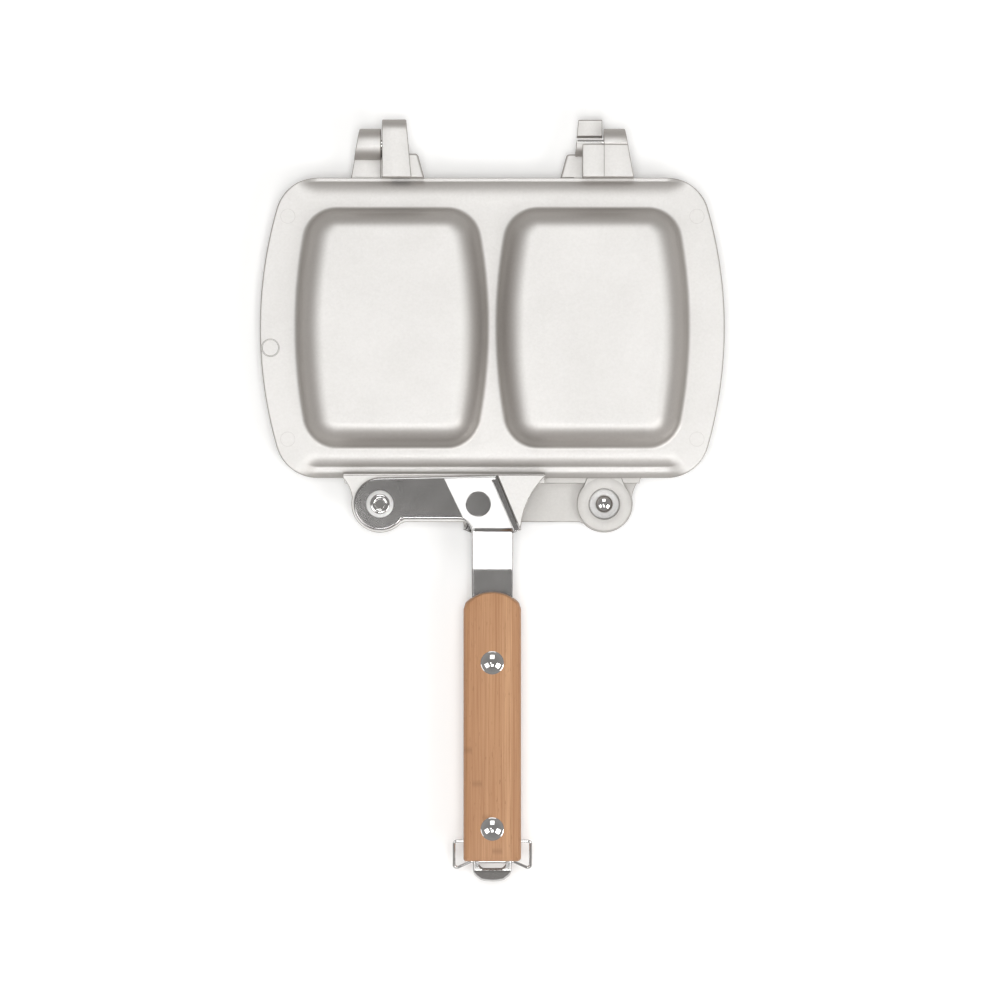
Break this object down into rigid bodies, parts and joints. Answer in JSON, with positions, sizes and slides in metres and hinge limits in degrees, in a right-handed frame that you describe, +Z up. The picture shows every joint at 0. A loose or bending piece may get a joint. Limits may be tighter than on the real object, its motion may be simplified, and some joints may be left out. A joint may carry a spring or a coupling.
{
  "type": "double hot sandwich press",
  "caption": "Camp hot-sandwich press: two hooked cast pans with twin pockets, folding handles with bamboo grips and a wire bail.",
  "frame": {"origin": "middle of the object's base, in the plane of the lower pockets' faces", "axes": "+Z up, from the lower pan to the upper pan; +Y along the handles towards the pan hinge; +X to the right seen from above with the hinge away from the viewer"},
  "size_m": [0.2396, 0.393, 0.038],
  "materials": {
    "cast": "bead-blasted die casting",
    "steel": "tumbled stainless sheet",
    "bright": "polished",
    "bamboo": "oiled laminated bamboo"
  },
  "bodies": {
    "bottom_pan": {"bottom_plate": "cast", "bottom_hinge_pin": "bright", "bottom_pivot_rivet": "bright", "bottom_spring_washer": "steel"},
    "top_pan": {"top_plate": "cast", "top_hinge_pin": "bright", "top_pivot_rivet": "bright", "top_spring_washer": "steel"},
    "top_handle": {"top_handle_arm": "steel", "top_grip": "bamboo", "top_front_grip_rivet": "bright", "top_rear_grip_rivet": "bright", "top_pivot_washer": "steel"},
    "bottom_handle": {"bottom_handle_arm": "steel", "bottom_grip": "bamboo", "bottom_front_grip_rivet": "bright", "bottom_rear_grip_rivet": "bright", "bottom_pivot_washer": "steel", "catch_hook": "steel", "catch_hook_rivet": "bright"},
    "bail": {"latch_bail": "bright"}
  },
  "joints": [
    {"name": "lid_hinge", "type": "hinge", "parent": "bottom_pan", "child": "top_pan", "pos_m": [0, 0.1837, 0.019], "axis": [-1, 0, 0], "range_deg": [0, 95]},
    {"name": "top_handle_fold", "type": "hinge", "parent": "top_pan", "child": "top_handle", "pos_m": [-0.0578, -0.0018, 0.019], "axis": [0, 0, -1], "range_deg": [0, 180]},
    {"name": "bottom_handle_fold", "type": "hinge", "parent": "bottom_pan", "child": "bottom_handle", "pos_m": [0.0578, -0.0018, 0.019], "axis": [0, 0, 1], "range_deg": [0, 180]},
    {"name": "bail_swing", "type": "hinge", "parent": "top_handle", "child": "bail", "pos_m": [0, -0.1752, 0.028], "axis": [1, 0, 0], "range_deg": [0, 43]}
  ]
}
